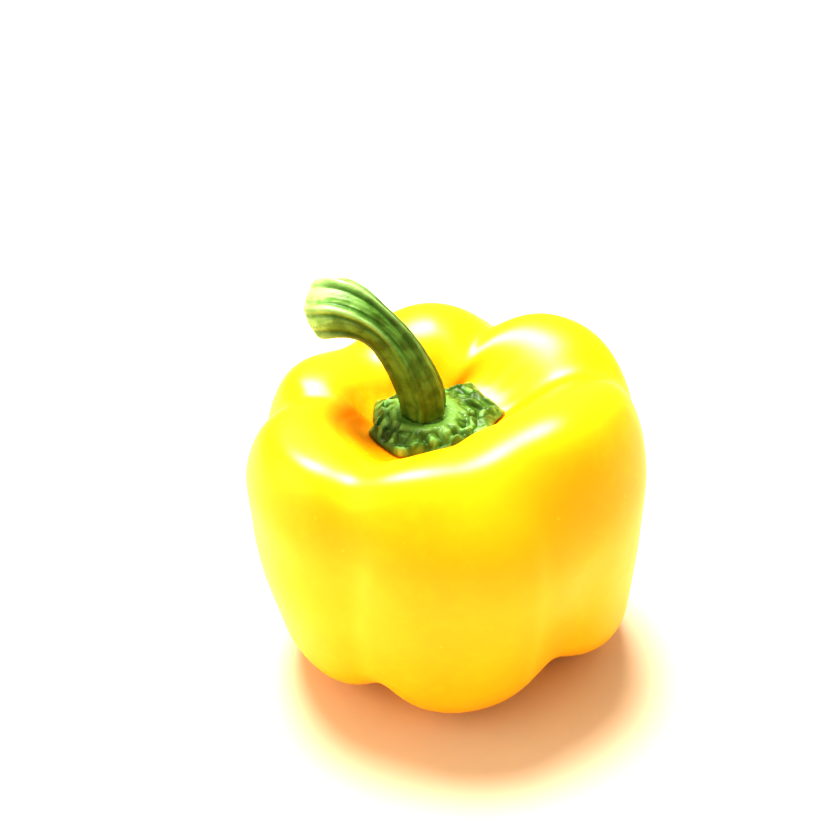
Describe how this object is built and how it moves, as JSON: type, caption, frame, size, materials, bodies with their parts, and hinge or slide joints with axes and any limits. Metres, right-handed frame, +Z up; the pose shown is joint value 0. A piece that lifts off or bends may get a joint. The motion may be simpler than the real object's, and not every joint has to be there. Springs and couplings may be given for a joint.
{
  "type": "bell pepper",
  "caption": "Whole yellow bell pepper with rounded lobes, a sunken stem hollow, a toothed green calyx and a curved cut stem. It stands on its feet.",
  "frame": {"origin": "on the ground, under the middle of the pepper's footprint", "axes": "+Z up along the fruit and stem, -Y towards the front of the picture's view, +X to its right"},
  "size_m": [0.0903, 0.0866, 0.1005],
  "materials": {
    "skin": "gloss",
    "calyx": "satin",
    "stem": "satin"
  },
  "bodies": {
    "root": {"fruit": "skin", "calyx": "calyx", "stem": "stem"}
  },
  "joints": []
}
